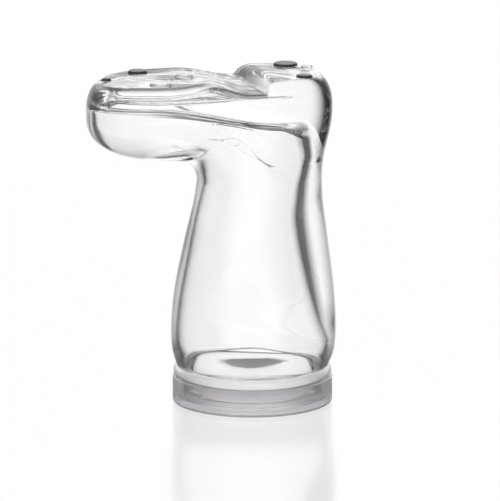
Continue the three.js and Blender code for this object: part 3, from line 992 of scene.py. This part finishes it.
def make_floor():
    """A pale glossy sheet, with painted shade towards the two side screens. Only rays bent by the glass see
    its painted shade.
    """
    mesh = bpy.data.meshes.new("floor")
    corners = [(x * FLOOR_HALF, y * FLOOR_HALF, 0) for x, y in ((-1, -1), (1, -1), (1, 1), (-1, 1))]
    mesh.from_pydata(corners, [], [(0, 1, 2, 3)])
    floor = bpy.data.objects.new("floor", mesh)
    bpy.context.scene.collection.objects.link(floor)
    floor.location.z = -FLOOR_DROP
    material = bpy.data.materials.new("pale_floor")
    tree = node_tree(material)
    shader = tree.nodes["Principled BSDF"]
    shader.inputs["Roughness"].default_value = FLOOR_ROUGHNESS
    shade = side_light(tree, separate(tree, place_on(tree)))
    path = tree.nodes.new("ShaderNodeLightPath")
    plain = calculate(tree, "MAXIMUM", shade, path.outputs["Is Camera Ray"])
    tree.links.new(plain, shader.inputs["Base Color"])
    mesh.materials.append(material)


def make_world():
    """White studio light all round the horizon, dimmer overhead and dark at the two side screens."""
    world = bpy.data.worlds.new("studio")
    bpy.context.scene.world = world
    tree = node_tree(world)
    background = tree.nodes["Background"]
    background.inputs["Color"].default_value = LIGHT_COLOUR
    place = separate(tree, place_on(tree, "Generated"))
    overhead = remap(tree, place["Z"], OVERHEAD, (1.0, OVERHEAD_LIGHT), "LINEAR")
    studio = calculate(tree, "MULTIPLY", side_light(tree, place), overhead)
    path = tree.nodes.new("ShaderNodeLightPath")
    plain = calculate(tree, "MAXIMUM", path.outputs["Is Camera Ray"], path.outputs["Is Diffuse Ray"])
    seen = calculate(tree, "MAXIMUM", studio, plain)
    tree.links.new(calculate(tree, "MULTIPLY", seen, LIGHT_LEVEL), background.inputs["Strength"])


def make_camera():
    """A long lens at the viewing angle of the photograph."""
    data = bpy.data.cameras.new("camera")
    data.sensor_fit = "HORIZONTAL"
    data.angle = 2 * math.atan(VIEW_WIDTH / 2 / CAMERA_DISTANCE)
    data.clip_start, data.clip_end = CAMERA_CLIP
    camera = bpy.data.objects.new("camera", data)
    bpy.context.scene.collection.objects.link(camera)
    across = np.array([math.cos(VIEW_AZIMUTH), math.sin(VIEW_AZIMUTH), 0])
    away = np.array([-math.sin(VIEW_AZIMUTH), math.cos(VIEW_AZIMUTH), 0])
    up = np.array([0, 0, 1])
    target = TARGET_ACROSS * across + TARGET_Z * up
    back = -away * math.cos(VIEW_ELEVATION) + up * math.sin(VIEW_ELEVATION)
    camera.location = target + back * CAMERA_DISTANCE
    camera.rotation_euler = (QUARTER - VIEW_ELEVATION, 0, VIEW_AZIMUTH)
    bpy.context.scene.camera = camera


# ------------------------------------------------------------------------------------------------
# Assembly
# ------------------------------------------------------------------------------------------------

# Each material's edge colour is painted shade on its dark lines and turned-away walls, standing in for dark
# reflections; turn is how much of it the turned-away walls take
GLASS = clear_material(
    "boot_glass", tint=(1, 1, 1), ior=1.5, edge=(0.03, 0.027, 0.03), turn=1.0,
    roughness=(0.0, 0.01), flow_scale=60, flow_strength=0.03,
)
PLASTIC = clear_material(
    "clear_plastic", tint=(0.9, 0.89, 0.91), ior=1.2, edge=(0.1, 0.095, 0.105), turn=0.2,
    roughness=(0.05, 0.15), flow_scale=90, flow_strength=0.05, transmission=0.75,
)
PLUG = clear_material(
    "milky_plastic", tint=(0.97, 0.97, 0.975), ior=1.49, edge=(0.9, 0.9, 0.9), turn=0.5,
    roughness=(0.2, 0.3), flow_scale=90, flow_strength=0.03, transmission=0.15,
)
# Painted shade: a dark oval in the plug's dish
paint_dish_shade(PLUG)
SILICONE = clear_material(
    "clear_silicone", tint=(0.95, 0.95, 0.96), ior=1.41, edge=(0.3, 0.29, 0.31), turn=0.6,
    roughness=(0.06, 0.18), flow_scale=400, flow_strength=0.15,
)
MILKY = clear_material(
    "milky_silicone", tint=(0.97, 0.97, 0.975), ior=1.41, edge=(0.3, 0.29, 0.31), turn=0.8,
    roughness=(0.1, 0.2), flow_scale=400, flow_strength=0.1, transmission=0.6,
)
# Near-black tint of these pads is painted: a dark reflection of the surroundings seen through clear silicone
# domes
PAINTED_DARK_SILICONE = clear_material(
    "silicone_painted_dark", tint=(0.05, 0.047, 0.052), ior=1.41, edge=(0.02, 0.02, 0.02), turn=1.0,
    roughness=(0.1, 0.25), flow_scale=400, flow_strength=0.15,
)

boot = stand_in(glass_boot(), "glass_vessel", "vessel", GLASS)
glass_surface = BVHTree.FromObject(boot, bpy.context.evaluated_depsgraph_get())
stand_in(closure_cup(), "closure_cup", "closure", PLASTIC)
stand_in(closure_plug(), "closure_plug", "closure", PLUG)
stand_in(rim_liner(), "rim_liner", "closure", SILICONE)
stand_in(seal_ring(), "seal_ring", "seal", MILKY)
for name in sorted(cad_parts):
    if "bumper" in name:
        material = PAINTED_DARK_SILICONE if name in PADS_PAINTED_DARK else SILICONE
        stand_in(bumper(name, glass_surface), name, "vessel", material)

make_floor()
make_world()
make_camera()
scene = bpy.context.scene
scene.view_settings.view_transform = "Standard"
scene.cycles.max_bounces = BOUNCES
scene.cycles.transmission_bounces = BOUNCES
scene.cycles.glossy_bounces = GLOSSY_BOUNCES
